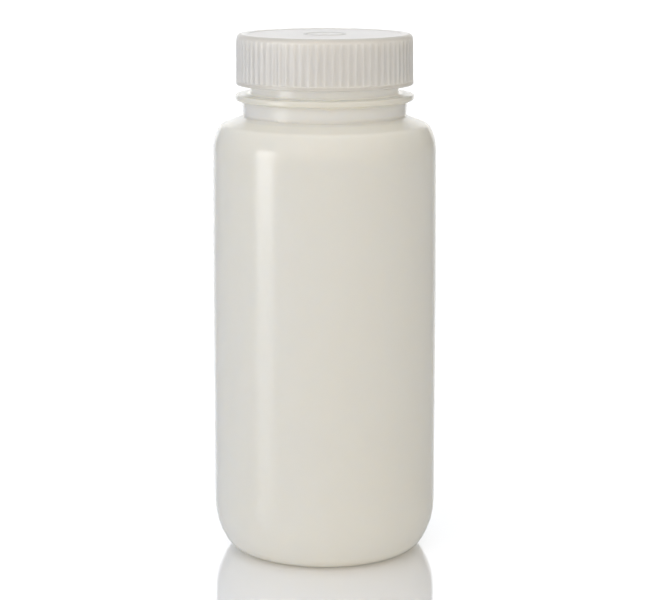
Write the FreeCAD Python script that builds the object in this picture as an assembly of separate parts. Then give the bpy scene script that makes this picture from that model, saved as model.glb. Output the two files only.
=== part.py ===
"""Wide-mouth sample bottle: a blow-moulded bottle, a ribbed screw cap and its sealing liner.

Millimetres, +Z up. The origin is the centre of the ring that the bottle stands on.
"""
import FreeCAD, Part
import math
import os

# Bottle body
body_radius = 36.5
base_fillet = 13.0
body_wall = 1.5
straight_height = 100.0
shoulder_height = 135.8
shoulder_draft = 0.2
shoulder_sweep = 13.0

# Shoulder, from the edge of the body up to the foot of the neck
shoulder_edge_inset = 3.0
shoulder_edge_rise = 4.6
shoulder_edge_fillet = 2.8
shoulder_slope_rise = 2.75
neck_foot_fillet = 1.3

# Pushed-up base inside the standing ring
contact_ring_width = 2.0
contact_ring_fillet = 0.8
push_up_height = 2.8
push_up_run = 3.6
push_up_fillet = 2.5

# Pinch-off seam across the pushed-up base
pinch_seam_length = 26.0
pinch_seam_width = 1.2
pinch_seam_height = 0.6

# Neck and the bead that the skirt stands over
neck_height = 5.15
neck_wall = 2.3
neck_flare = 0.3
bead_height = 1.95
bead_reach = 4.85
bead_edge_fillet = 0.7
bead_slope_rise = 0.35

# Threaded finish above the bead
mouth_radius = 21.75
finish_wall = 2.25
neck_step = 2.4
finish_height = 16.65
rim_fillet = 0.5
mouth_taper_height = 2.5

# Thread, single start and right-handed
thread_lead = 5.0
thread_depth = 1.7
thread_crest_width = 1.1
thread_load_angle = 10.0
thread_lead_angle = 38.0
thread_turns = 1.5
thread_fade = 15.0
thread_start_angle = 40.0
thread_below_rim = 1.6

# Fits between bottle, cap and liner
thread_radial_clearance = 0.4
thread_axial_clearance = 0.25
liner_clearance = 0.4
skirt_gap = 3.45

# Cap
skirt_wall = 2.2
panel_thickness = 2.0
cap_corner_fillet = 1.7
skirt_band_height = 2.0
skirt_band_step = 0.7
skirt_edge_fillet = 0.4
cap_inner_fillet = 0.6
cap_thread_turns = 1.25
cap_thread_above_skirt = 0.8

# Grip ribs
rib_count = 72
rib_height = 0.6
rib_radius = 0.8
rib_facets = 5
rib_top_gap = 0.1
rib_top_slope = 0.7

# Shallow well, plain ring and gate mark on the cap top
panel_rim_width = 1.9
panel_well_depth = 0.35
panel_ring_radius = 6.5
panel_ring_width = 0.9
panel_ring_height = 0.3
gate_radius = 1.3
gate_floor_radius = 0.8
gate_depth = 0.35

# Liner
liner_thickness = 1.0
liner_edge_fillet = 0.2

# How far a ridge is rooted in the wall that carries it
root_overlap = 0.3

# Reach of the prisms that trim the ends of a ridge
cutter_margin = 8.0

# Share of a side that its two arcs may use, thinnest inner fillet and shortest edge
usable_side = 0.98
least_fillet = 0.2
shortest_edge = 1e-6

# Edges broken by less than this are plain chamfers, and larger ones are arcs
chamfer_below = 1.5

# Radii that follow from the sizes above
finish_radius = mouth_radius + finish_wall
thread_radius = finish_radius + thread_depth
neck_radius = finish_radius + neck_step
bead_radius = finish_radius + bead_reach
cap_inner_radius = thread_radius + thread_radial_clearance
cap_root_radius = cap_inner_radius + skirt_wall
cap_crest_radius = cap_root_radius + rib_height
cap_band_radius = cap_root_radius + skirt_band_step
liner_radius = cap_inner_radius - liner_clearance
contact_outer_radius = body_radius - base_fillet
contact_inner_radius = contact_outer_radius - contact_ring_width
push_up_radius = contact_inner_radius - push_up_run
shoulder_edge_radius = body_radius - shoulder_edge_inset

# Heights that follow from the sizes above
shoulder_edge_z = shoulder_height + shoulder_edge_rise
neck_foot_z = shoulder_edge_z + shoulder_slope_rise
bead_low_z = neck_foot_z + neck_height
bead_top_z = bead_low_z + bead_height
rim_z = bead_top_z + finish_height
panel_low_z = rim_z + liner_thickness
cap_top_z = panel_low_z + panel_thickness
skirt_z = bead_top_z + skirt_gap

# Rise and run of the two thread flanks
load_flank_rise = thread_depth * math.tan(math.radians(thread_load_angle))
lead_flank_rise = thread_depth * math.tan(math.radians(thread_lead_angle))
thread_base_width = load_flank_rise + thread_crest_width + lead_flank_rise
load_flank_gap = thread_radial_clearance * math.tan(math.radians(thread_load_angle))
neck_thread_z = rim_z - thread_below_rim - thread_base_width - thread_lead * thread_turns
cap_thread_z = neck_thread_z + load_flank_gap - thread_axial_clearance

# The cap's thread lies on the same helix, begun where its foot clears the skirt edge
cap_thread_foot_low = -lead_flank_rise - thread_crest_width
cap_thread_low_z = cap_thread_z + cap_thread_foot_low
cap_thread_first_turn = (skirt_z + cap_thread_above_skirt - cap_thread_low_z) / thread_lead

AXIS = FreeCAD.Vector(0, 0, 1)
ORIGIN = FreeCAD.Vector(0, 0, 0)


def point(radius, height):
    """A point of the half section, in the XZ plane."""
    return FreeCAD.Vector(radius, 0, height)


def rounded_wire(corners):
    """Closed wire through (radius, height, fillet) corners, with a tangent arc at each fillet.

    An arc of radius f reaches f * tan(half the turn) along both sides of its corner. Where two
    arcs on one side would meet, both shrink to fit that side. A fillet under chamfer_below
    becomes a straight chamfer of the same reach.
    """
    count = len(corners)
    points = [point(radius, height) for radius, height, fillet in corners]
    inwards = [(points[i - 1] - points[i]).normalize() for i in range(count)]
    outwards = [(points[(i + 1) % count] - points[i]).normalize() for i in range(count)]
    half_turns = [(math.pi - inwards[i].getAngle(outwards[i])) / 2 for i in range(count)]
    reaches = [corners[i][2] * math.tan(half_turns[i]) for i in range(count)]
    for i in range(count):
        j = (i + 1) % count
        room = usable_side * (points[j] - points[i]).Length
        needed = reaches[i] + reaches[j]
        if needed > room:
            reaches[i] *= room / needed
            reaches[j] *= room / needed
    starts = [points[i] + inwards[i] * reaches[i] for i in range(count)]
    ends = [points[i] + outwards[i] * reaches[i] for i in range(count)]
    edges = []
    for i in range(count):
        if reaches[i] > shortest_edge:
            if corners[i][2] < chamfer_below:
                edges.append(Part.LineSegment(starts[i], ends[i]).toShape())
            else:
                radius = reaches[i] / math.tan(half_turns[i])
                depth = radius / math.cos(half_turns[i]) - radius
                crown = points[i] + (inwards[i] + outwards[i]).normalize() * depth
                edges.append(Part.Arc(starts[i], crown, ends[i]).toShape())
        following = starts[(i + 1) % count]
        if (following - ends[i]).Length > shortest_edge:
            edges.append(Part.LineSegment(ends[i], following).toShape())
    return Part.Wire(edges)


def turned(corners):
    """Solid of revolution of a closed half section about the Z axis."""
    return Part.Face(rounded_wire(corners)).revolve(ORIGIN, AXIS, 360)


def inner_path(path, wall):
    """The corners of an open path moved inwards, to its left, by a constant wall.

    Each inner corner is where two moved sides cross, and the path's last corner is left out.
    """
    shifted = []
    for (r0, z0, f0), (r1, z1, f1) in zip(path[:-1], path[1:]):
        length = math.hypot(r1 - r0, z1 - z0)
        across = (-(z1 - z0) / length * wall, (r1 - r0) / length * wall)
        shifted.append(((r0 + across[0], z0 + across[1]), (r1 - r0, z1 - z0)))
    result = [(path[0][0], shifted[0][0][1], 0)]
    for i in range(1, len(shifted)):
        (ax, az), (adx, adz) = shifted[i - 1]
        (bx, bz), (bdx, bdz) = shifted[i]
        cross = adx * bdz - adz * bdx
        along = ((bx - ax) * bdz - (bz - az) * bdx) / cross
        fillet = path[i][2]
        if fillet > 0:
            fillet = max(fillet - math.copysign(wall, cross), least_fillet)
        result.append((ax + adx * along, az + adz * along, fillet))
    return result


def bottle_shell():
    """The blown body with its shoulder, neck, bead and plain finish, open at the mouth."""
    outside = [
        (0, push_up_height, 0),
        (push_up_radius, push_up_height, push_up_fillet),
        (contact_inner_radius, 0, contact_ring_fillet),
        (body_radius, 0, base_fillet),
        (body_radius, straight_height, 0),
        (body_radius - shoulder_draft, shoulder_height, shoulder_sweep),
        (shoulder_edge_radius, shoulder_edge_z, shoulder_edge_fillet),
        (neck_radius, neck_foot_z, neck_foot_fillet),
    ]
    inside = inner_path(outside, body_wall)
    inner_neck_radius = neck_radius - neck_wall
    foot_slope = shoulder_slope_rise / (shoulder_edge_radius - neck_radius)
    inner_foot_z = inside[-1][1] + foot_slope * (inside[-1][0] - inner_neck_radius)
    neck = [
        (neck_radius + neck_flare, bead_low_z, bead_edge_fillet),
        (bead_radius, bead_low_z, bead_edge_fillet),
        (bead_radius, bead_top_z, bead_edge_fillet),
        (finish_radius, bead_top_z + bead_slope_rise, bead_edge_fillet),
        (finish_radius, rim_z, rim_fillet),
        (mouth_radius, rim_z, rim_fillet),
        (mouth_radius, bead_low_z, neck_foot_fillet),
        (inner_neck_radius, bead_low_z - mouth_taper_height, neck_foot_fillet),
        (inner_neck_radius, inner_foot_z, neck_foot_fillet),
    ]
    return turned(outside + neck + inside[::-1])


def ridge_section(root, crest, low, high, low_rise, high_drop):
    """Section of a ridge: a flat crest and two flanks that run on into the wall.

    low and high are where the flanks leave the wall at the root radius.
    """
    share = root_overlap / thread_depth
    buried = root - math.copysign(root_overlap, crest - root)
    points = [
        point(buried, low - low_rise * share),
        point(crest, low + low_rise),
        point(crest, high - high_drop),
        point(buried, high + high_drop * share),
    ]
    return Part.makePolygon(points + points[:1])


def end_cutter(root, crest, turn, inward, low, high):
    """Prism that trims one end of a ridge along an upright plane.

    The plane runs from the root at that turn to the crest thread_fade degrees further in,
    so the ridge sinks into its wall along a straight line.
    """
    end_angle = 2 * math.pi * turn
    full_angle = end_angle + inward * math.radians(thread_fade)
    foot = FreeCAD.Vector(root * math.cos(end_angle), root * math.sin(end_angle), 0)
    top = FreeCAD.Vector(crest * math.cos(full_angle), crest * math.sin(full_angle), 0)
    direction = (top - foot).normalize()
    tip = FreeCAD.Vector(crest * math.cos(end_angle), crest * math.sin(end_angle), 0)
    across = AXIS.cross(direction) * cutter_margin
    if across.dot(tip - foot) < 0:
        across = -across
    start = foot - direction * cutter_margin
    end = top + direction * thread_depth
    corners = [start, end, end + across, start + across]
    cutter = Part.Face(Part.makePolygon(corners + corners[:1])).extrude(AXIS * (high - low + thread_depth))
    cutter.translate(AXIS * (thread_lead * turn + low - thread_depth / 2))
    return cutter


def thread_ridge(root, crest, low, high, low_rise, high_drop, first_turn, turns, start_z):
    """A helical ridge from root to crest radius that sinks into its wall at both ends.

    low and high are the edges of its foot, low_rise and high_drop the run of its flanks.
    The helix passes height start_z at turn 0, and the ridge begins at first_turn.
    """
    section = ridge_section(root, crest, low, high, low_rise, high_drop)
    helix = Part.makeHelix(thread_lead, thread_lead * turns, root)
    ridge = Part.Wire(helix.Edges).makePipeShell([section], True, True)
    ridge = ridge.cut([
        end_cutter(root, crest, 0, 1, low, high),
        end_cutter(root, crest, turns, -1, low, high),
    ])
    ridge.rotate(ORIGIN, AXIS, 360 * first_turn + thread_start_angle)
    ridge.translate(AXIS * (start_z + thread_lead * first_turn))
    return ridge


def joined(body, pieces):
    """Fuse pieces to a body and merge the faces that run on."""
    return body.fuse(pieces).removeSplitter()


def pinch_seam():
    """The raised weld line that the mould leaves across the pushed-up base."""
    half = min(pinch_seam_length / 2, push_up_radius - push_up_fillet / 2)
    seam = Part.makeBox(2 * half, pinch_seam_width, pinch_seam_height + root_overlap)
    seam.translate(FreeCAD.Vector(-half, -pinch_seam_width / 2, push_up_height - pinch_seam_height))
    return seam


def make_bottle():
    """The bottle with the pinch-off seam and the neck thread."""
    ridge = thread_ridge(
        finish_radius, thread_radius, 0, thread_base_width, load_flank_rise, lead_flank_rise,
        0, thread_turns, neck_thread_z)
    return joined(bottle_shell(), [ridge, pinch_seam()])


def cap_shell():
    """The cap without ribs: skirt, band, rounded corner and top panel."""
    well_radius = cap_root_radius - cap_corner_fillet - panel_rim_width
    well_z = cap_top_z - panel_well_depth
    ring_outer = panel_ring_radius + panel_ring_width / 2
    ring_inner = panel_ring_radius - panel_ring_width / 2
    ring_z = well_z + panel_ring_height
    return turned([
        (cap_inner_radius, skirt_z, skirt_edge_fillet / 2),
        (cap_band_radius, skirt_z, skirt_edge_fillet),
        (cap_band_radius, skirt_z + skirt_band_height, skirt_edge_fillet),
        (cap_root_radius, skirt_z + skirt_band_height + skirt_band_step / 2, 0),
        (cap_root_radius, cap_top_z, cap_corner_fillet),
        (well_radius, cap_top_z, panel_well_depth / 2),
        (well_radius, well_z, panel_well_depth / 2),
        (ring_outer, well_z, 0),
        (ring_outer, ring_z, panel_ring_height / 2),
        (ring_inner, ring_z, panel_ring_height / 2),
        (ring_inner, well_z, 0),
        (gate_radius, well_z, 0),
        (gate_floor_radius, well_z - gate_depth, 0),
        (0, well_z - gate_depth, 0),
        (0, panel_low_z, 0),
        (cap_inner_radius, panel_low_z, cap_inner_fillet / 2),
    ])


def rib_ring():
    """All grip ribs as one prism whose outline is a circle with half-round ridges.

    The points of each ridge lie on an arc of radius rib_radius centred inside the circle, so
    that it stands rib_height proud. Between ribs the outline runs inside the wall of the cap.
    The top runs in at a slope to the wall, just under the rounded corner of the cap.
    """
    pitch = 2 * math.pi / rib_count
    centre_radius = cap_crest_radius - rib_radius
    wall_radius = cap_root_radius - root_overlap
    # Turn of the arc from its crown to where it meets the wall circle, by the cosine rule
    squares = wall_radius ** 2 - centre_radius ** 2 - rib_radius ** 2
    half_arc = math.acos(squares / (2 * centre_radius * rib_radius))
    low = skirt_z + skirt_band_height / 2
    high = cap_top_z - cap_corner_fillet - rib_top_gap
    corners = []
    for i in range(rib_count):
        middle = i * pitch
        for k in range(rib_facets + 1):
            turn = half_arc * (2 * k / rib_facets - 1)
            out = centre_radius + rib_radius * math.cos(turn)
            across = rib_radius * math.sin(turn)
            x = out * math.cos(middle) - across * math.sin(middle)
            y = out * math.sin(middle) + across * math.cos(middle)
            corners.append(FreeCAD.Vector(x, y, low))
    outline = Part.Face(Part.makePolygon(corners + corners[:1]))
    prism = outline.extrude(AXIS * (high - low))
    bore_radius = cap_root_radius - skirt_wall / 2
    slope_low = high - 2 * rib_top_slope
    envelope = turned([
        (bore_radius, low, 0),
        (cap_crest_radius + rib_height, low, 0),
        (cap_crest_radius + rib_height, slope_low, 0),
        (cap_root_radius, high, 0),
        (bore_radius, high, 0),
    ])
    return prism.common(envelope)


def make_cap():
    """The ribbed cap with its inside thread."""
    ridge = thread_ridge(
        cap_inner_radius, cap_inner_radius - thread_depth, cap_thread_foot_low, load_flank_rise,
        lead_flank_rise, load_flank_rise, cap_thread_first_turn, cap_thread_turns, cap_thread_z)
    return joined(cap_shell(), [rib_ring(), ridge])


def make_liner():
    """The loose sealing disc between the rim and the cap panel."""
    return turned([
        (0, rim_z, 0),
        (liner_radius, rim_z, liner_edge_fillet),
        (liner_radius, panel_low_z, liner_edge_fillet),
        (0, panel_low_z, 0),
    ])


def main():
    """Write one STEP file for each piece."""
    os.makedirs("parts", exist_ok=True)
    pieces = {"bottle": make_bottle(), "screw_cap": make_cap(), "cap_liner": make_liner()}
    for name, shape in pieces.items():
        print(name, shape.isValid(), len(shape.Solids), "volume %.1f" % shape.Volume)
        shape.exportStep("parts/" + name + ".step")


main()
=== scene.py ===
"""Looks of a wide-mouth sample bottle: milky bottle, ribbed screw cap and sealing liner.

Metres, +Z up. Every piece is a surface worked out from a half section or a helix, and stands
where the solids stand, with its object at the origin.
"""
import math

import bpy
import numpy as np
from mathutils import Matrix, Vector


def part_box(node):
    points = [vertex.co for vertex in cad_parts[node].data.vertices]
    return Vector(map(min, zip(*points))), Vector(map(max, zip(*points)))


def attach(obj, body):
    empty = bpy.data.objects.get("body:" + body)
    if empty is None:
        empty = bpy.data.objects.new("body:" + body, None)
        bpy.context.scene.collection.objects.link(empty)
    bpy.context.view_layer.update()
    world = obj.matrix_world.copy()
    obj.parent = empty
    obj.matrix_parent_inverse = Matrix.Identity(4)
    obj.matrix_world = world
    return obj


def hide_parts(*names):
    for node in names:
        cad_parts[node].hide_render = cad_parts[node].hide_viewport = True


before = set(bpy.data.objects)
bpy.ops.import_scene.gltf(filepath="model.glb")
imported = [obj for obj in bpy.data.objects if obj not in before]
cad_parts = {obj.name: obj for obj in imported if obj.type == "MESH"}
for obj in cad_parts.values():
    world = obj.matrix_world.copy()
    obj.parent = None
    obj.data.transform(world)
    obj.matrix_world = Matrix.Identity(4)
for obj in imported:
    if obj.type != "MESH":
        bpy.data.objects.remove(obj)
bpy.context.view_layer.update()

bl_info = {
    "name": "Wide-mouth sample bottle",
    "version": (1, 0, 0),
    "blender": (4, 5, 0),
    "location": "3D View > Sidebar > Bottle",
    "description": "Builds a milky wide-mouth bottle, its ribbed screw cap, its liner and a white studio",
    "category": "Add Mesh",
}

MM = 0.001
_, BOTTLE_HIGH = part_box("bottle")
CAP_LOW, CAP_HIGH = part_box("screw_cap")
LINER_LOW, LINER_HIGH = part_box("cap_liner")

# Fineness of the surfaces: columns around, turn between points of an arc, and the distance
# from an arc at which a straight run gets its first point
COLUMNS = 240
ARC_STEP = math.radians(9)
GUARD = 0.35 * MM

# Rounded paths: the share of a side that its two arcs may use, the fewest steps of an arc and
# the smallest fillet inside a wall
USABLE_SIDE = 0.98
LEAST_STEPS = 3
LEAST_FILLET = 0.2 * MM

# Thread ridges: how deep they are rooted in their wall, how round their crest is, and how far
# the middle of that rounding stands from its two ends
ROOT_OVERLAP = 0.3 * MM
CREST_ROUNDING = 0.25 * MM
BEVEL_SHARE = 0.3

# How far the cap's thread stands over the skirt's edge, and how far under the flank of the
# neck's thread that pulls
CAP_THREAD_RISE = 0.8 * MM
AXIAL_CLEARANCE = 0.25 * MM

# Cap: the slope over the band and the slope at the top of a rib
BAND_SLOPE = 0.35 * MM
RIB_SLOPE = 1.4 * MM


def length_property(name, description, default):
    """A float property in metres, shown in the scene's unit."""
    return bpy.props.FloatProperty(
        name=name, description=description, default=default, unit="LENGTH", precision=5)


def angle_property(name, description, default):
    """A float property in radians, shown in degrees."""
    return bpy.props.FloatProperty(
        name=name, description=description, default=default, unit="ROTATION")


def number_property(name, description, default):
    """A float property without a unit."""
    return bpy.props.FloatProperty(name=name, description=description, default=default)


def colour_property(name, description, default):
    """A linear colour without alpha."""
    return bpy.props.FloatVectorProperty(
        name=name, description=description, default=default, subtype="COLOR", size=3, min=0, max=1)


def light_property(name, description, default):
    """A linear colour that may be brighter than one."""
    return bpy.props.FloatVectorProperty(
        name=name, description=description, default=default, subtype="COLOR", size=3, min=0, soft_max=2)


class BottleSizes(bpy.types.PropertyGroup):
    """Sizes and finish of the blow-moulded bottle."""
    radius: length_property("Radius", "Outside radius of the body", BOTTLE_HIGH.x)
    wall: length_property("Wall", "Thickness of the blown wall", 1.5 * MM)
    heel_width: length_property("Heel width", "How far the rounded heel runs in under the wall", 9.5 * MM)
    heel_height: length_property("Heel height", "How far the rounded heel runs up the wall", 15.5 * MM)
    push_up: length_property("Push-up", "Height of the pushed-up base", 2.8 * MM)
    shoulder_height: length_property("Shoulder", "Height where the shoulder turns in", 135.8 * MM)
    edge_rise: length_property("Shoulder edge", "Rise from there to the shoulder's edge", 4.9 * MM)
    slope_rise: length_property("Shoulder slope", "Rise from the edge to the foot of the neck", 2.75 * MM)
    neck_height: length_property("Neck height", "Height of the neck up to the bead", 5.15 * MM)
    bead_height: length_property("Bead height", "Thickness of the bead", 1.95 * MM)
    neck_radius: length_property("Neck radius", "Outside radius under the bead", 26.4 * MM)
    bead_radius: length_property("Bead radius", "Outside radius of the bead", 28.85 * MM)
    finish_radius: length_property("Finish radius", "Radius that the thread stands on", 24 * MM)
    mouth_radius: length_property("Mouth radius", "Inside radius of the mouth", 21.75 * MM)
    rim_height: length_property("Rim height", "Height of the rim", BOTTLE_HIGH.z)
    parting_height: length_property("Parting line", "How far the parting line stands proud", 0.07 * MM)
    colour: colour_property("Colour", "Body colour of the plastic", (0.862, 0.81, 0.692))
    warm_colour: colour_property(
        "Warm tint", "Tint where the wall is a little thicker", (0.878, 0.80, 0.66))
    neck_colour: colour_property(
        "Neck tint", "Colour of the denser plastic of the neck", (0.795, 0.795, 0.755))
    # Painted shade: a darker colour on the bead's edge stands in for shade there
    bead_painted_shade: colour_property("Bead tint", "Colour of the bead's thin edge", (0.62, 0.62, 0.565))
    # Painted glow: an emission colour that paints light on the wall's foot and on the neck between bead
    # and skirt
    glow: colour_property(
        "Glow", "Light that the wall lets through where little falls on it", (0.21, 0.20, 0.18))


class ThreadSizes(bpy.types.PropertyGroup):
    """Sizes that the thread of the neck and the thread of the cap share."""
    lead: length_property("Lead", "Rise of one turn", 5 * MM)
    depth: length_property("Depth", "Height of the ridge over its wall", 1.7 * MM)
    crest_width: length_property("Crest width", "Width of the flat crest", 1.1 * MM)
    load_angle: angle_property("Load flank", "Slope of the flank that pulls", math.radians(10))
    lead_angle: angle_property("Lead flank", "Slope of the other flank", math.radians(38))
    turns: number_property("Turns", "Turns of the neck's thread", 1.5)
    cap_turns: number_property("Cap turns", "Turns of the cap's thread", 1.25)
    fade: angle_property("Fade", "Turn over which an end sinks into its wall", math.radians(15))
    start_angle: angle_property("Start", "Where the neck's thread starts", math.radians(40))
    below_rim: length_property("Below rim", "Distance of the top of the thread from the rim", 1.6 * MM)


class CapSizes(bpy.types.PropertyGroup):
    """Sizes and finish of the ribbed cap."""
    band_radius: length_property("Band radius", "Outside radius of the plain band", 28.65 * MM)
    band_height: length_property("Band height", "Height of the plain band", 1.2 * MM)
    root_radius: length_property("Root radius", "Outside radius between the ribs", 28.34 * MM)
    inner_radius: length_property("Inner radius", "Inside radius of the skirt", 26.1 * MM)
    corner_fillet: length_property("Corner", "Radius of the top edge", 1.4 * MM)
    panel_thickness: length_property("Panel", "Thickness of the top panel", 2 * MM)
    rib_count: bpy.props.IntProperty(name="Ribs", description="Number of grip ribs", default=72, min=3)
    rib_height: length_property("Rib height", "How far a rib stands proud", 0.24 * MM)
    rib_radius: length_property("Rib radius", "Radius of a rib's rounding", 0.8 * MM)
    colour: colour_property("Colour", "Body colour of the plastic", (0.672, 0.655, 0.608))
    # Painted light: a lighter colour on the whole top panel, where more light falls from above
    top_painted_light: colour_property(
        "Top tint", "Colour of the milkier plastic around the gate", (0.82, 0.79, 0.73))
    # Painted shade on the cap's thin top and bottom edges; the raised ring on the top is painted with the
    # same darker colour
    edge_shade_and_ring_colour: colour_property(
        "Edge tint", "Colour of the thin edges and of the ring on the top", (0.53, 0.515, 0.475))
    cloud_colour: colour_property("Cloud tint", "Tint of the milky flow marks", (0.722, 0.708, 0.658))


class LinerSizes(bpy.types.PropertyGroup):
    """Sizes and finish of the loose liner."""
    radius: length_property("Radius", "Outside radius", LINER_HIGH.x)
    edge_fillet: length_property("Edge", "Rounding of the edge", 0.2 * MM)
    colour: colour_property("Colour", "Colour of the foam", (0.86, 0.86, 0.85))


class StudioSettings(bpy.types.PropertyGroup):
    """White studio: place of the camera and brightness of the room."""
    camera_distance: length_property("Distance", "Camera distance from the bottle's axis", 0.7)
    camera_height: length_property("Height", "Camera height over the floor", 0.2171)
    camera_side: length_property("Side", "How far the camera stands to the right", 0.1 * MM)
    camera_tilt: angle_property("Tilt", "How far the camera looks down", 0.1898)
    focal_length: bpy.props.FloatProperty(
        name="Lens", description="Focal length of the lens on a 36 mm wide sensor", default=120.0,
        unit="CAMERA")
    backdrop: number_property("Backdrop", "Brightness of the backdrop as a light and in mirrors", 1.26)
    seen_backdrop: number_property("Seen", "Brightness of the backdrop as the camera sees it", 1.2)
    front_light: light_property("Front", "Light from the camera's side", (1.18, 1.06, 0.94))
    left_light: light_property("Left", "Light from the left", (0.31, 0.36, 0.47))
    upper_light: light_property("Above", "Light from above", (0.74, 0.775, 0.83))
    surround: light_property("Surround", "Light from all sides", (0.08, 0.06, 0.03))


def unit(vectors):
    """Vectors scaled to length one along their last axis."""
    return vectors / np.linalg.norm(vectors, axis=-1, keepdims=True)


def corner_reaches(points, fillets):
    """How far the arc of each inner corner reaches along its two sides.

    A fillet f at a turn of angle a reaches f * tan(a / 2). Where two arcs on one side would
    meet, both shrink in the same share to fit that side.
    """
    inwards = unit(points[:-2] - points[1:-1])
    outwards = unit(points[2:] - points[1:-1])
    cosines = np.clip((inwards * outwards).sum(-1), -1, 1)
    half_turns = (math.pi - np.arccos(cosines)) / 2
    reaches = np.zeros(len(points))
    reaches[1:-1] = fillets[1:-1] * np.tan(half_turns)
    sides = USABLE_SIDE * np.linalg.norm(points[1:] - points[:-1], axis=1)
    for i, side in enumerate(sides):
        needed = reaches[i] + reaches[i + 1]
        if needed > side:
            reaches[i:i + 2] *= side / needed
    return inwards, outwards, half_turns, reaches


def rounded_path(corners):
    """Points (radius, height) of an open path with a tangent arc at each inner corner.

    corners are (radius, height, fillet). With the arc's two end vectors a and b from its
    centre and the whole turn w, its point at share t is (sin((1 - t) w) a + sin(t w) b) / sin w.
    A straight run gets a point just after the one arc and just before the next.
    """
    corners = np.array(corners, float)
    points, fillets = corners[:, :2], corners[:, 2]
    inwards, outwards, half_turns, reaches = corner_reaches(points, fillets)
    pieces = [points[:1]]
    for i in range(1, len(points) - 1):
        inward, outward, half = inwards[i - 1], outwards[i - 1], half_turns[i - 1]
        reach = reaches[i]
        if reach <= 0:
            pieces.append(points[i:i + 1])
            continue
        radius = reach / math.tan(half)
        centre = points[i] + unit(inward + outward) * radius / math.cos(half)
        first = points[i] + inward * reach - centre
        last = points[i] + outward * reach - centre
        steps = max(LEAST_STEPS, math.ceil(2 * half / ARC_STEP))
        share = np.linspace(0, 1, steps + 1)[:, None]
        turn = 2 * half
        arc = (np.sin((1 - share) * turn) * first + np.sin(share * turn) * last) / math.sin(turn)
        pieces.append(centre + arc)
    pieces.append(points[-1:])
    result = [pieces[0]]
    for before, after in zip(pieces[:-1], pieces[1:]):
        run = after[0] - before[-1]
        length = np.linalg.norm(run)
        if length > 4 * GUARD:
            share = np.array([GUARD / length, 1 - GUARD / length])[:, None]
            result.append(before[-1] + share * run)
        result.append(after)
    return np.concatenate(result)


def moved_inwards(path, wall):
    """Corners of an open path moved to its left by a wall, without the last one.

    Each side is moved along its normal, and each new corner is where two moved sides cross.
    The first corner keeps its radius.
    """
    path = np.array(path, float)
    points, fillets = path[:, :2], path[:, 2]
    runs = unit(points[1:] - points[:-1])
    normals = np.stack([-runs[:, 1], runs[:, 0]], axis=1)
    starts = points[:-1] + normals * wall
    cross = runs[:-1, 0] * runs[1:, 1] - runs[:-1, 1] * runs[1:, 0]
    gap = starts[1:] - starts[:-1]
    along = (gap[:, 0] * runs[1:, 1] - gap[:, 1] * runs[1:, 0]) / cross
    crossings = starts[:-1] + along[:, None] * runs[:-1]
    inner_fillets = np.maximum(fillets[1:-1] - np.sign(cross) * wall, LEAST_FILLET)
    inner_fillets[fillets[1:-1] == 0] = 0
    first = [(points[0, 0], starts[0, 1], 0)]
    return first + [tuple(row) for row in np.column_stack([crossings, inner_fillets])]


def grid_faces(rows, columns, first, closed):
    """Quads of a grid whose vertex (i, j) has index first + i * columns + j.

    The winding goes along the row, then to the next row, and closed joins the last column
    to column 0.
    """
    i = np.arange(rows - 1)[:, None]
    j = np.arange(columns if closed else columns - 1)[None, :]
    k = (j + 1) % columns
    quads = np.stack(np.broadcast_arrays(
        i * columns + j, i * columns + k, (i + 1) * columns + k, (i + 1) * columns + j), axis=-1)
    return first + quads.reshape(-1, 4)


def turned_surface(radii, heights, angles):
    """Vertices and faces of a surface of revolution that is closed at both ends of its path.

    radii and heights have one row for each point of the path and one column for each angle,
    and vertex (i, j) stands at (r cos a, r sin a, z). The first and the last row lie on the
    axis, so each is one vertex with a fan of triangles.
    """
    rows, columns = radii.shape
    ring = np.stack([radii * np.cos(angles), radii * np.sin(angles), heights], axis=-1)
    vertices = np.concatenate([ring[0, :1], ring[1:-1].reshape(-1, 3), ring[-1, :1]])
    quads = grid_faces(rows - 2, columns, 1, True)
    j = np.arange(columns)
    k = (j + 1) % columns
    top = 1 + (rows - 3) * columns
    last = len(vertices) - 1
    low_fan = np.stack([np.zeros_like(j), 1 + k, 1 + j], axis=-1)
    high_fan = np.stack([top + j, top + k, np.full_like(j, last)], axis=-1)
    return vertices, [quads, low_fan, high_fan]


def island_surface(ring):
    """Vertices and faces of a closed tube whose ring[s, p] is point p of section s.

    Both ends are closed by one flat face.
    """
    stations, points = ring.shape[:2]
    s = np.arange(stations - 1)[:, None]
    p = np.arange(points)[None, :]
    q = (p + 1) % points
    quads = np.stack(np.broadcast_arrays(
        s * points + p, (s + 1) * points + p, (s + 1) * points + q, s * points + q), axis=-1)
    first_end = np.arange(points)[None, :]
    last_end = (stations - 1) * points + np.arange(points)[None, ::-1]
    return ring.reshape(-1, 3), [quads.reshape(-1, 4), first_end, last_end]


def joined_surface(parts):
    """One list of vertices and faces from several."""
    vertices, faces, count = [], [], 0
    for part_vertices, part_faces in parts:
        vertices.append(part_vertices)
        faces += [group + count for group in part_faces]
        count += len(part_vertices)
    return np.concatenate(vertices), faces


def spread(path, angles):
    """Radii and heights of a path, a row for each point and a column for each angle."""
    radii = np.repeat(path[:, :1], len(angles), axis=1)
    heights = np.repeat(path[:, 1:], len(angles), axis=1)
    return radii, heights


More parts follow.
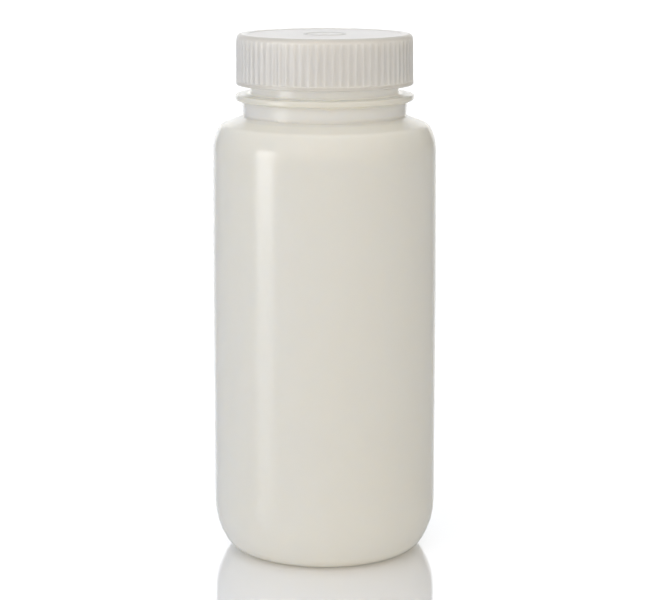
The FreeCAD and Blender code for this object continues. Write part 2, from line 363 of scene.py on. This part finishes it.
def mesh_piece(name, vertices, faces, material, body, node):
    """A smooth mesh object that rides on a body and stands for a solid."""
    mesh = bpy.data.meshes.new(name)
    mesh.vertices.add(len(vertices))
    mesh.vertices.foreach_set("co", vertices.astype(np.float32).ravel())
    sizes = np.concatenate([np.full(len(group), group.shape[1]) for group in faces])
    corners = np.concatenate([group.ravel() for group in faces])
    mesh.loops.add(len(corners))
    mesh.loops.foreach_set("vertex_index", corners.astype(np.int32))
    mesh.polygons.add(len(sizes))
    starts = np.concatenate([[0], np.cumsum(sizes)[:-1]])
    mesh.polygons.foreach_set("loop_start", starts.astype(np.int32))
    mesh.update(calc_edges=True)
    mesh.validate()
    mesh.polygons.foreach_set("use_smooth", np.ones(len(mesh.polygons), bool))
    piece = bpy.data.objects.new(name, mesh)
    bpy.context.scene.collection.objects.link(piece)
    mesh.materials.append(material)
    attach(piece, body)
    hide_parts(node)


def thread_ring(threads, root, crest, low, high, low_rise, high_drop, first_turn, turns, start_height):
    """Sections of a helical ridge that rises from radius root to radius crest.

    At turn u the section stands at angle 2 pi u and is lifted by lead * u. Its flanks leave
    the root at low and high and slope in by low_rise and high_drop over the whole depth. Near
    an end the crest is limited by the straight line, seen from above, from the root at the
    end to the crest one fade further in.
    """
    side = math.copysign(1, crest - root)
    depth = abs(crest - root)
    stations = 1 + math.ceil(turns * COLUMNS)
    turn = np.linspace(0, turns, stations)
    from_end = 2 * math.pi * np.minimum(turn, turns - turn)
    foot = np.array([root, 0.0])
    top = crest * np.array([math.cos(threads.fade), math.sin(threads.fade)])
    line_normal = np.array([top[1] - foot[1], foot[0] - top[0]])
    line_normal /= np.linalg.norm(line_normal)
    line_distance = float(foot @ line_normal)
    line_angle = math.atan2(line_normal[1], line_normal[0])
    line_radius = line_distance / np.cos(np.minimum(from_end, threads.fade) - line_angle)
    rise = np.where(from_end >= threads.fade, depth, side * (line_radius - root))
    rise = np.clip(rise, 0, depth)
    rounding = np.minimum(CREST_ROUNDING, rise / 3)
    buried = np.full(stations, -ROOT_OVERLAP)

    def flank(height_over_wall, edge, slope):
        return edge + slope * height_over_wall / depth

    shoulder = rise - rounding
    bevel = rise - BEVEL_SHARE * rounding
    out = np.stack([buried, shoulder, bevel, rise, rise, bevel, shoulder, buried], axis=1)
    up = np.stack([
        flank(buried, low, low_rise),
        flank(shoulder, low, low_rise),
        flank(bevel, low, low_rise) + BEVEL_SHARE * rounding,
        flank(rise, low, low_rise) + rounding,
        flank(rise, high, -high_drop) - rounding,
        flank(bevel, high, -high_drop) - BEVEL_SHARE * rounding,
        flank(shoulder, high, -high_drop),
        flank(buried, high, -high_drop),
    ], axis=1)
    if side < 0:
        out, up = out[:, ::-1], up[:, ::-1]
    radius = root + side * out
    angle = (threads.start_angle + 2 * math.pi * (first_turn + turn))[:, None]
    height = start_height + threads.lead * (first_turn + turn)[:, None] + up
    return np.stack([radius * np.cos(angle), radius * np.sin(angle), height], axis=-1)


def thread_heights(bottle, threads):
    """Rises of the two flanks, width of the foot and the height where the neck's helix starts."""
    load_rise = threads.depth * math.tan(threads.load_angle)
    lead_rise = threads.depth * math.tan(threads.lead_angle)
    foot = load_rise + threads.crest_width + lead_rise
    start = bottle.rim_height - threads.below_rim - foot - threads.lead * threads.turns
    return load_rise, lead_rise, foot, start


def heel_corners(bottle):
    """The two corners of a heel that is close to a quarter of an ellipse.

    With a and b its half axes and k = sqrt(2) - 1, the ellipse's tangent half way round cuts
    a * k off the floor and b * k off the wall. Arcs of these reaches round the two corners.
    """
    a, b = bottle.heel_width, bottle.heel_height
    k = math.sqrt(2) - 1
    low_turn = math.atan2(b, a)
    high_turn = math.pi / 2 - low_turn
    return [
        (bottle.radius - a * (1 - k), 0, a * k / math.tan(low_turn / 2)),
        (bottle.radius, b * (1 - k), b * k / math.tan(high_turn / 2)),
    ]


def bottle_path(bottle):
    """Corners of the closed wall, from the middle of the base outside up and down inside."""
    contact_inset = 15 * MM
    contact_fillet = 0.8 * MM
    push_up_run = 3.6 * MM
    push_up_fillet = 2.5 * MM
    lean_height = 90 * MM
    lean_fillet = 60 * MM
    shoulder_draft = 0.3 * MM
    shoulder_fillet = 13 * MM
    edge_inset = 2.7 * MM
    edge_fillet = 2.8 * MM
    foot_fillet = 0.8 * MM
    neck_wall = 2.3 * MM
    neck_flare = 0.3 * MM
    bead_fillet = 0.7 * MM
    bead_slope = 0.35 * MM
    rim_fillet = 0.5 * MM
    mouth_taper = 2.5 * MM
    inner_fillet = 1.3 * MM
    contact_inner = bottle.radius - contact_inset
    edge_radius = bottle.radius - edge_inset
    edge_height = bottle.shoulder_height + bottle.edge_rise
    foot_height = edge_height + bottle.slope_rise
    bead_low = foot_height + bottle.neck_height
    bead_top = bead_low + bottle.bead_height
    outside = [
        (0, bottle.push_up, 0),
        (contact_inner - push_up_run, bottle.push_up, push_up_fillet),
        (contact_inner, 0, contact_fillet),
        *heel_corners(bottle),
        (bottle.radius, lean_height, lean_fillet),
        (bottle.radius - shoulder_draft, bottle.shoulder_height, shoulder_fillet),
        (edge_radius, edge_height, edge_fillet),
        (bottle.neck_radius, foot_height, foot_fillet),
    ]
    inside = moved_inwards(outside, bottle.wall)
    inner_neck = bottle.neck_radius - neck_wall
    slope = bottle.slope_rise / (edge_radius - bottle.neck_radius)
    inner_foot = inside[-1][1] + slope * (inside[-1][0] - inner_neck)
    neck = [
        (bottle.neck_radius + neck_flare, bead_low, bead_fillet),
        (bottle.bead_radius, bead_low, bead_fillet),
        (bottle.bead_radius, bead_top, bead_fillet),
        (bottle.finish_radius, bead_top + bead_slope, bead_fillet),
        (bottle.finish_radius, bottle.rim_height, rim_fillet),
        (bottle.mouth_radius, bottle.rim_height, rim_fillet),
        (bottle.mouth_radius, bead_low, inner_fillet),
        (inner_neck, bead_low - mouth_taper, inner_fillet),
        (inner_neck, inner_foot, inner_fillet),
    ]
    return outside + neck + inside[::-1]


def parting_angles():
    """Angles of the columns in radians: even steps, and more beside the two parting lines."""
    even = np.arange(COLUMNS) * 2 * math.pi / COLUMNS
    near = np.array([-0.012, -0.006, -0.003, 0.003, 0.006, 0.012])
    extra = np.concatenate([near, math.pi + near]) % (2 * math.pi)
    return np.unique(np.concatenate([even, extra]))


def parting_share(angles):
    """One on the two parting lines, at angles 0 and pi, and zero a little to the side.

    The share is exp(-(t / w)^2) of the turn t from the nearer line, with w the line's width.
    """
    line_width = 0.0045
    turn = np.abs((angles + math.pi / 2) % math.pi - math.pi / 2)
    return np.exp(-(turn / line_width) ** 2)


def pinch_seam_ring(bottle):
    """Sections of the weld bar across the pushed-up base, along X.

    Its half width and its drop below the base follow sqrt(1 - t^4) of the share t along it,
    and its section is half an ellipse with its flat side in the base.
    """
    half_length = 13 * MM
    half_width = 0.6 * MM
    drop = 0.8 * MM
    root = 0.2 * MM
    stations = 41
    points = 9
    least_swell = 0.05
    share = np.linspace(-1, 1, stations)
    swell = np.sqrt(np.clip(1 - share ** 4, least_swell ** 2, 1))[:, None]
    turn = np.linspace(0, math.pi, points)[None, :]
    x = np.broadcast_to(share[:, None] * half_length, (stations, points))
    y = half_width * np.cos(turn) * swell
    z = bottle.push_up + root - drop * np.sin(turn) * swell
    return np.stack([x, y, z], axis=-1)[:, ::-1]


def rib_foot(cap):
    """Height where the slope over the band ends and the ribs start."""
    return CAP_LOW.z + cap.band_height + BAND_SLOPE


def cap_path(cap):
    """Corners of the cap, down its inside, round the skirt, up its outside and over its top.

    The path starts in the middle of the ceiling and ends in the middle of the gate mark.
    """
    skirt = CAP_LOW.z
    top = CAP_HIGH.z
    ceiling = top - cap.panel_thickness
    ceiling_fillet = 0.3 * MM
    skirt_fillet = 0.2 * MM
    band_fillet = 0.4 * MM
    slope_fillet = 0.15 * MM
    rim_width = 1.9 * MM
    well_depth = 0.25 * MM
    well_fillet = 0.25 * MM
    ring_outer = 6.95 * MM
    ring_inner = 6.05 * MM
    ring_height = 0.22 * MM
    ring_slope = 0.1 * MM
    gate_radius = 1.3 * MM
    gate_floor_radius = 0.8 * MM
    gate_depth = 0.35 * MM
    gate_fillet = 0.2 * MM
    well_radius = cap.root_radius - cap.corner_fillet - rim_width
    well = top - well_depth
    ring_top = well + ring_height
    gate_floor = well - gate_depth
    return [
        (0, ceiling, 0),
        (cap.inner_radius, ceiling, ceiling_fillet),
        (cap.inner_radius, skirt, skirt_fillet),
        (cap.band_radius, skirt, band_fillet),
        (cap.band_radius, skirt + cap.band_height, band_fillet),
        (cap.root_radius, rib_foot(cap), slope_fillet),
        (cap.root_radius, top, cap.corner_fillet),
        (well_radius, top, well_fillet),
        (well_radius - well_fillet, well, well_fillet),
        (ring_outer + ring_slope, well, ring_slope),
        (ring_outer - ring_slope, ring_top, ring_slope),
        (ring_inner + ring_slope, ring_top, ring_slope),
        (ring_inner - ring_slope, well, ring_slope),
        (gate_radius, well, gate_fillet),
        (gate_floor_radius, gate_floor, gate_fillet),
        (0, gate_floor, 0),
    ]


def with_heights(path, heights):
    """A path with extra points on the outer wall at the given heights.

    The outer wall is the run of the path that climbs past them at one radius.
    """
    passes = (path[:-1, 1] < heights[0]) & (path[1:, 1] > heights[-1])
    wall = np.argmax(passes)
    extra = np.column_stack([np.full(len(heights), path[wall, 0]), heights])
    return np.concatenate([path[:wall + 1], extra, path[wall + 1:]])


def rib_columns(cap):
    """Angles of the cap's columns, and how far a rib stands over the wall in each.

    A rib is an arc of radius f about a centre f - h under the crest circle, with h its
    height. Its columns lie at even turns of that arc, from foot to foot, and one more lies
    half way to the next rib.
    """
    crest = cap.root_radius + cap.rib_height
    centre = crest - cap.rib_radius
    squares = cap.root_radius ** 2 - centre ** 2 - cap.rib_radius ** 2
    half_arc = math.acos(squares / (2 * centre * cap.rib_radius))
    points = 7
    turn = np.linspace(-half_arc, half_arc, points)
    x = centre + cap.rib_radius * np.cos(turn)
    y = cap.rib_radius * np.sin(turn)
    pitch = 2 * math.pi / cap.rib_count
    offsets = np.append(np.arctan2(y, x), pitch / 2)
    rise = np.append(np.hypot(x, y) - cap.root_radius, 0)
    starts = np.arange(cap.rib_count)[:, None] * pitch
    return (starts + offsets).ravel(), np.tile(rise, cap.rib_count)


class Wire:
    """An output socket in Python sums. Each sum adds one Math node to the same tree."""

    def __init__(self, sheet, socket):
        self.sheet = sheet
        self.socket = socket

    def _sum(self, operation, first, second):
        settings = {"operation": operation}
        return self.sheet.add("ShaderNodeMath", settings, {0: first, 1: second}).out()

    def __add__(self, other):
        return self._sum("ADD", self, other)

    def __radd__(self, other):
        return self._sum("ADD", other, self)

    def __sub__(self, other):
        return self._sum("SUBTRACT", self, other)

    def __rsub__(self, other):
        return self._sum("SUBTRACT", other, self)

    def __mul__(self, other):
        return self._sum("MULTIPLY", self, other)

    def __rmul__(self, other):
        return self._sum("MULTIPLY", other, self)

    def at_least(self, other):
        """The larger of two values."""
        return self._sum("MAXIMUM", self, other)

    def at_most(self, other):
        """The smaller of two values."""
        return self._sum("MINIMUM", self, other)

    def clamped(self):
        """The value, kept between 0 and 1."""
        return self.at_least(0).at_most(1)

    def rising(self, start, slope):
        """Zero up to start, then slope more for each unit, up to 1."""
        return ((self - start) * slope).clamped()

    def falling(self, end, slope):
        """Slope less for each unit, from 1 down to zero at end."""
        return ((end - self) * slope).clamped()


class Added:
    """A node that was added, with its outputs as wires."""

    def __init__(self, sheet, node):
        self.sheet = sheet
        self.node = node

    def out(self, name=0):
        return Wire(self.sheet, self.node.outputs[name])


class Sheet:
    """A node tree that is filled one node at a time."""

    def __init__(self, tree):
        self.tree = tree
        tree.nodes.clear()

    def add(self, kind, settings=None, inputs=None):
        """Add a node, set its settings first, then the values or links of its sockets."""
        node = self.tree.nodes.new(kind)
        for name, value in (settings or {}).items():
            setattr(node, name, value)
        for name, value in (inputs or {}).items():
            if isinstance(value, Wire):
                self.tree.links.new(value.socket, node.inputs[name])
            else:
                node.inputs[name].default_value = value
        return Added(self, node)

    def noise(self, scale, stretch, detail, roughness=0.5):
        """Noise of the object's own coordinates, from 0 to 1, stretched along the axes."""
        place = self.add("ShaderNodeTexCoord").out("Object")
        mapped = self.add("ShaderNodeMapping", None, {"Vector": place, "Scale": stretch}).out()
        return self.add("ShaderNodeTexNoise", None, {
            "Vector": mapped, "Scale": scale, "Detail": detail, "Roughness": roughness}).out("Fac")

    def place(self):
        """The object's own X, Y and Z in millimetres."""
        corner = self.add("ShaderNodeTexCoord").out("Object")
        parts = self.add("ShaderNodeSeparateXYZ", None, {0: corner})
        return [parts.out(name) * (1 / MM) for name in ("X", "Y", "Z")]

    def blend(self, share, first, second):
        """A colour between two colours."""
        settings = {"data_type": "RGBA", "blend_type": "MIX"}
        node = self.add("ShaderNodeMix", settings, {0: share, 6: first, 7: second})
        return node.out(2)

    def bump(self, height, strength, distance):
        """A normal tilted by the slope of a height."""
        return self.add("ShaderNodeBump", None, {
            "Height": height, "Strength": strength, "Distance": distance}).out()


def opaque(colour):
    """A colour with alpha one."""
    return (colour[0], colour[1], colour[2], 1)


def new_material(name):
    """A material and the sheet of its nodes."""
    material = bpy.data.materials.new(name)
    material.use_nodes = True
    return material, Sheet(material.node_tree)


def bottle_plastic(bottle):
    """Milky blown polyethylene: satin, slightly uneven, light goes a few millimetres in.

    The neck has a tint of its own, and the edge of its bead is painted darker as painted shade.
    An emission paints a glow of light on the wall at its foot and between bead and skirt.
    The finish is dense and lets no light in, since light inside would show where the thread's
    ridge enters the wall. Places are in millimetres.
    """
    neck_start = 142.5
    finish_start = 155
    # Places of the painted glow, an emission that paints light on the foot and between bead and skirt
    foot_glow_end = 1.5
    skirt_glow_middle = 152.5
    bead_start_squared = 730
    skirt_glow_end_squared = 650
    material, sheet = new_material("milky_bottle_plastic")
    broad = sheet.noise(22, (1, 1, 0.6), 1.0)
    streaks = sheet.noise(60, (1, 1, 0.08), 2.0)
    grain = sheet.noise(900, (1, 1, 0.7), 2.0, 0.6)
    share = (broad * 0.7 + streaks * 0.3 - 0.35) * 2.2
    colour = sheet.blend(share.clamped(), opaque(bottle.colour), opaque(bottle.warm_colour))
    x, y, z = sheet.place()
    squared_radius = x * x + y * y
    neck = z.rising(neck_start, 0.4)
    colour = sheet.blend(neck, colour, opaque(bottle.neck_colour))
    # Painted shade: the bead's outer edge is painted darker
    bead = squared_radius.rising(bead_start_squared, 0.02) * neck
    colour = sheet.blend(bead, colour, opaque(bottle.bead_painted_shade))
    # Painted glow: light painted as emission on the wall's foot and on the neck between bead and skirt
    foot_painted_glow = (foot_glow_end - z).at_least(0) * 0.3
    from_middle = z - skirt_glow_middle
    skirt_painted_glow = (1.4 - from_middle * from_middle * 0.12).clamped()
    skirt_painted_glow = skirt_painted_glow * squared_radius.falling(skirt_glow_end_squared, 0.02)
    glow = sheet.blend(foot_painted_glow + skirt_painted_glow, (0, 0, 0, 1), opaque(bottle.glow))
    roughness = 0.13 + streaks * 0.06 + grain * 0.05
    height = broad + streaks * 0.12 + grain * 0.012
    surface = {
        "Base Color": colour,
        "Roughness": roughness,
        "IOR": 1.5,
        "Emission Color": glow,
        "Emission Strength": 1.0,
        "Normal": sheet.bump(height, 0.18, 0.0012),
    }
    milky = sheet.add("ShaderNodeBsdfPrincipled", None, {
        **surface,
        "Subsurface Weight": 1.0,
        "Subsurface Radius": (1.0, 0.9, 0.75),
        "Subsurface Scale": 0.005,
    })
    dense = sheet.add("ShaderNodeBsdfPrincipled", None, surface)
    finish = z.rising(finish_start, 1)
    shader = sheet.add("ShaderNodeMixShader", None, {0: finish, 1: milky.out(), 2: dense.out()})
    sheet.add("ShaderNodeOutputMaterial", None, {"Surface": shader.out()})
    return material


def cap_plastic(cap):
    """Milky moulded polypropylene with clouds that run up the skirt.

    The thin edges at the top and the bottom are painted darker as painted shade, the ring on the
    top is painted darker, and the panel inside the rim is painted lighter as painted light. Places
    are in millimetres.
    """
    top = CAP_HIGH.z / MM
    skirt = CAP_LOW.z / MM
    top_edge_low = top - 1.6
    bottom_edge_high = skirt + 1.5
    panel_low = top - 0.9
    ring_low = top - 0.2
    panel_end_squared = 740
    ring_end_squared = 60
    material, sheet = new_material("milky_cap_plastic")
    clouds = sheet.noise(70, (1, 1, 0.5), 3.0)
    flow = sheet.noise(160, (1, 1, 0.12), 2.0)
    grain = sheet.noise(1400, (1, 1, 1), 2.0, 0.6)
    share = (clouds * 0.6 + flow * 0.4 - 0.32) * 2.6
    colour = sheet.blend(share.clamped(), opaque(cap.colour), opaque(cap.cloud_colour))
    x, y, z = sheet.place()
    # Painted shade on the thin edges at the top and at the bottom
    edge_shade = z.rising(top_edge_low, 1).at_least(z.falling(bottom_edge_high, 2))
    colour = sheet.blend(edge_shade, colour, opaque(cap.edge_shade_and_ring_colour))
    squared_radius = x * x + y * y
    # Painted light: the top panel inside the rim is painted lighter
    panel = z.rising(panel_low, 2) * squared_radius.falling(panel_end_squared, 0.03)
    colour = sheet.blend(panel, colour, opaque(cap.top_painted_light))
    # The raised ring on the top is painted darker
    ring = z.rising(ring_low, 8) * squared_radius.falling(ring_end_squared, 0.2)
    colour = sheet.blend(ring * 0.8, colour, opaque(cap.edge_shade_and_ring_colour))
    roughness = 0.24 + clouds * 0.08 + grain * 0.06
    height = flow * 0.1 + grain * 0.02
    shader = sheet.add("ShaderNodeBsdfPrincipled", None, {
        "Base Color": colour,
        "Roughness": roughness,
        "IOR": 1.49,
        "Subsurface Weight": 1.0,
        "Subsurface Radius": (1.0, 0.95, 0.85),
        "Subsurface Scale": 0.007,
        "Normal": sheet.bump(height, 0.12, 0.0005),
    })
    sheet.add("ShaderNodeOutputMaterial", None, {"Surface": shader.out()})
    return material


def liner_foam(liner):
    """White foamed polyethylene with a fine open-cell grain."""
    material, sheet = new_material("liner_foam")
    place = sheet.add("ShaderNodeTexCoord").out("Object")
    cells = sheet.add("ShaderNodeTexVoronoi", None, {"Vector": place, "Scale": 1800.0}).out("Distance")
    clouds = sheet.noise(120, (1, 1, 1), 2.0)
    darker = tuple(0.92 * part for part in liner.colour)
    colour = sheet.blend(clouds, opaque(liner.colour), opaque(darker))
    shader = sheet.add("ShaderNodeBsdfPrincipled", None, {
        "Base Color": colour,
        "Roughness": 0.62 + cells * 0.25,
        "Subsurface Weight": 0.3,
        "Subsurface Radius": (1.0, 1.0, 0.95),
        "Subsurface Scale": 0.001,
        "Normal": sheet.bump(cells, 0.35, 0.0002),
    })
    sheet.add("ShaderNodeOutputMaterial", None, {"Surface": shader.out()})
    return material


def floor_acrylic():
    """Glossy white sheet that mirrors the object and the white backdrop."""
    material, sheet = new_material("white_floor")
    haze = sheet.noise(6, (1, 1, 1), 1.0)
    shader = sheet.add("ShaderNodeBsdfPrincipled", None, {
        "Base Color": (0.95, 0.97, 1, 1),
        "Metallic": 0.44,
        "Roughness": 0.05 + haze * 0.03,
    })
    sheet.add("ShaderNodeOutputMaterial", None, {"Surface": shader.out()})
    return material


class BOTTLE_OT_bottle(bpy.types.Operator):
    """Build the bottle with its thread, bead, parting lines and pinch-off seam"""
    bl_idname = "sample_bottle.bottle"
    bl_label = "Bottle"

    def execute(self, context):
        bottle = context.scene.bottle_sizes
        threads = context.scene.thread_sizes
        path = rounded_path(bottle_path(bottle))
        angles = parting_angles()
        radii, heights = spread(path, angles)
        rim = int(np.argmax(path[:, 1]))
        past_finish = bottle.finish_radius + 0.1 * MM
        outside = (np.arange(len(path)) < rim) & (path[:, 0] > past_finish)
        share = parting_share(angles)
        radii[outside] -= bottle.parting_height * (1 - share)
        load_rise, lead_rise, foot, start = thread_heights(bottle, threads)
        ridge = thread_ring(
            threads, bottle.finish_radius, bottle.finish_radius + threads.depth, 0, foot,
            load_rise, lead_rise, 0, threads.turns, start)
        vertices, faces = joined_surface([
            turned_surface(radii, heights, angles),
            island_surface(ridge),
            island_surface(pinch_seam_ring(bottle)),
        ])
        material = bottle_plastic(bottle)
        mesh_piece("bottle_body", vertices, faces, material, "bottle", "bottle")
        return {"FINISHED"}


class BOTTLE_OT_cap(bpy.types.Operator):
    """Build the cap with its ribs, top and inside thread"""
    bl_idname = "sample_bottle.cap"
    bl_label = "Screw cap"

    def execute(self, context):
        bottle = context.scene.bottle_sizes
        threads = context.scene.thread_sizes
        cap = context.scene.cap_sizes
        rib_low = rib_foot(cap)
        rib_top = CAP_HIGH.z - cap.corner_fillet
        slope_low = rib_top - RIB_SLOPE
        low_run = 0.3 * MM
        slope_run = 0.5 * MM
        high_run = 0.02 * MM
        levels = np.concatenate([
            np.linspace(rib_low + low_run, slope_low, 5),
            np.linspace(slope_low + slope_run, rib_top - high_run, 8),
        ])
        path = with_heights(rounded_path(cap_path(cap)), levels)
        angles, rise = rib_columns(cap)
        radii, heights = spread(path, angles)
        least_radius = cap.root_radius - 1 * MM
        least_height = rib_low - 0.75 * MM
        outer = (path[:, 0] > least_radius) & (path[:, 1] > least_height)
        outer &= path[:, 1] < rib_top
        limit = np.clip((rib_top - heights) * (2 * cap.rib_height / RIB_SLOPE), 0, None)
        ribbed = cap.root_radius + np.minimum(rise[None, :], limit)
        radii[outer] = np.maximum(radii[outer], ribbed[outer])
        load_rise, lead_rise, _, start = thread_heights(bottle, threads)
        radial_gap = cap.inner_radius - bottle.finish_radius - threads.depth
        start += radial_gap * math.tan(threads.load_angle) - AXIAL_CLEARANCE
        foot_low = -lead_rise - threads.crest_width
        first_turn = (CAP_LOW.z + CAP_THREAD_RISE - start - foot_low) / threads.lead
        ridge = thread_ring(
            threads, cap.inner_radius, cap.inner_radius - threads.depth, foot_low, load_rise,
            lead_rise, load_rise, first_turn, threads.cap_turns, start)
        vertices, faces = joined_surface([
            turned_surface(radii, heights, angles),
            island_surface(ridge),
        ])
        mesh_piece("cap_ribbed", vertices, faces, cap_plastic(cap), "cap", "screw_cap")
        return {"FINISHED"}


class BOTTLE_OT_liner(bpy.types.Operator):
    """Build the loose liner disc"""
    bl_idname = "sample_bottle.liner"
    bl_label = "Liner"

    def execute(self, context):
        liner = context.scene.liner_sizes
        path = rounded_path([
            (0, LINER_LOW.z, 0),
            (liner.radius, LINER_LOW.z, liner.edge_fillet),
            (liner.radius, LINER_HIGH.z, liner.edge_fillet),
            (0, LINER_HIGH.z, 0),
        ])
        angles = np.arange(COLUMNS) * 2 * math.pi / COLUMNS
        radii, heights = spread(path, angles)
        vertices, faces = turned_surface(radii, heights, angles)
        mesh_piece("liner_disc", vertices, faces, liner_foam(liner), "liner", "cap_liner")
        return {"FINISHED"}


def softbox(name, azimuth, elevation, distance, width, height, radiance):
    """A white rectangular light that faces the middle of the bottle's foot.

    azimuth turns left from the camera's side, and the energy is pi * width * height times
    the brightness of its face.
    """
    light = bpy.data.lights.new(name, "AREA")
    light.shape = "RECTANGLE"
    light.size = width
    light.size_y = height
    light.energy = radiance * math.pi * width * height
    box = bpy.data.objects.new(name, light)
    away = distance * math.cos(elevation)
    box.location = (
        -away * math.sin(azimuth), -away * math.cos(azimuth), distance * math.sin(elevation))
    box.rotation_euler = (math.pi / 2 - elevation, 0, -azimuth)
    box.visible_camera = False
    box.visible_diffuse = False
    bpy.context.scene.collection.objects.link(box)


def studio_world(studio):
    """White backdrop for the camera, and a softer room that lights and is mirrored.

    The room is a sum of lights, each with a colour and a strength. The strength of three
    grows with how far a direction points to the front, to the left and up, and a fourth
    is the same from all sides. Straight behind the object the bright backdrop takes the
    place of the light from above and of the even one.
    """
    backdrop_start = 0.88
    world = bpy.data.worlds.new("white_studio")
    world.use_nodes = True
    sheet = Sheet(world.node_tree)
    direction = sheet.add("ShaderNodeTexCoord").out("Generated")
    parts = sheet.add("ShaderNodeSeparateXYZ", None, {0: direction})
    x, y, z = parts.out("X"), parts.out("Y"), parts.out("Z")
    behind = y.rising(backdrop_start, 20)
    lights = (
        ((y * -1).at_least(0), studio.front_light),
        ((x * -1).at_least(0), studio.left_light),
        (z.at_least(0) * (1 - behind), studio.upper_light),
        (1 - behind, studio.surround),
        (behind * studio.backdrop, (1, 1, 1)),
    )
    room = None
    for strength, colour in lights:
        glow = sheet.add(
            "ShaderNodeBackground", None, {"Color": opaque(colour), "Strength": strength}).out()
        if room is None:
            room = glow
        else:
            room = sheet.add("ShaderNodeAddShader", None, {0: room, 1: glow}).out()
    white_light = sheet.add(
        "ShaderNodeBackground", None, {"Color": (1, 1, 1, 1), "Strength": studio.seen_backdrop}).out()
    seen = sheet.add("ShaderNodeLightPath").out("Is Camera Ray")
    mixed = sheet.add("ShaderNodeMixShader", None, {0: seen, 1: room, 2: white_light}).out()
    sheet.add("ShaderNodeOutputWorld", None, {"Surface": mixed})
    bpy.context.scene.world = world


class BOTTLE_OT_studio(bpy.types.Operator):
    """Build the floor, the lights, the backdrop and the camera"""
    bl_idname = "sample_bottle.studio"
    bl_label = "Studio"

    def execute(self, context):
        studio = context.scene.studio_settings
        side = 3.0
        corners = [(-side, -side, 0), (side, -side, 0), (side, side, 0), (-side, side, 0)]
        mesh = bpy.data.meshes.new("floor")
        mesh.from_pydata(corners, [], [(0, 1, 2, 3)])
        floor = bpy.data.objects.new("floor", mesh)
        context.scene.collection.objects.link(floor)
        mesh.materials.append(floor_acrylic())
        studio_world(studio)
        softbox(
            "left_softbox", azimuth=math.radians(62), elevation=math.radians(12), distance=0.77,
            width=0.27, height=0.32, radiance=4.6)
        softbox(
            "top_softbox", azimuth=math.radians(4), elevation=math.radians(75), distance=0.9,
            width=0.34, height=0.26, radiance=1.0)
        camera = bpy.data.cameras.new("camera")
        camera.sensor_width = 36
        camera.sensor_fit = "HORIZONTAL"
        camera.lens = studio.focal_length
        viewer = bpy.data.objects.new("camera", camera)
        viewer.location = (studio.camera_side, -studio.camera_distance, studio.camera_height)
        viewer.rotation_euler = (math.pi / 2 - studio.camera_tilt, 0, 0)
        context.scene.collection.objects.link(viewer)
        context.scene.camera = viewer
        context.scene.view_settings.view_transform = "Standard"
        return {"FINISHED"}


class BOTTLE_PT_pieces(bpy.types.Panel):
    """The pieces of the bottle and its studio"""
    bl_idname = "BOTTLE_PT_pieces"
    bl_label = "Sample bottle"
    bl_space_type = "VIEW_3D"
    bl_region_type = "UI"
    bl_category = "Bottle"

    def draw(self, context):
        layout = self.layout
        for group, operators in PIECES:
            settings = getattr(context.scene, group)
            box = layout.box()
            for name in settings.__annotations__:
                box.prop(settings, name)
            for operator in operators:
                box.operator(operator)


PIECES = (
    ("bottle_sizes", ("sample_bottle.bottle",)),
    ("thread_sizes", ()),
    ("cap_sizes", ("sample_bottle.cap",)),
    ("liner_sizes", ("sample_bottle.liner",)),
    ("studio_settings", ("sample_bottle.studio",)),
)
GROUPS = {
    "bottle_sizes": BottleSizes,
    "thread_sizes": ThreadSizes,
    "cap_sizes": CapSizes,
    "liner_sizes": LinerSizes,
    "studio_settings": StudioSettings,
}
CLASSES = (
    BottleSizes, ThreadSizes, CapSizes, LinerSizes, StudioSettings, BOTTLE_OT_bottle, BOTTLE_OT_cap,
    BOTTLE_OT_liner, BOTTLE_OT_studio, BOTTLE_PT_pieces,
)


def register():
    """Register the classes, and a pointer in the scene to each group of settings."""
    for item in CLASSES:
        bpy.utils.register_class(item)
    for name, group in GROUPS.items():
        setattr(bpy.types.Scene, name, bpy.props.PointerProperty(type=group))


def unregister():
    """Take the pointers and the classes away again."""
    for name in GROUPS:
        delattr(bpy.types.Scene, name)
    for item in reversed(CLASSES):
        bpy.utils.unregister_class(item)


def main():
    register()
    bpy.ops.sample_bottle.bottle()
    bpy.ops.sample_bottle.cap()
    bpy.ops.sample_bottle.liner()
    bpy.ops.sample_bottle.studio()


if __name__ == "__main__":
    main()
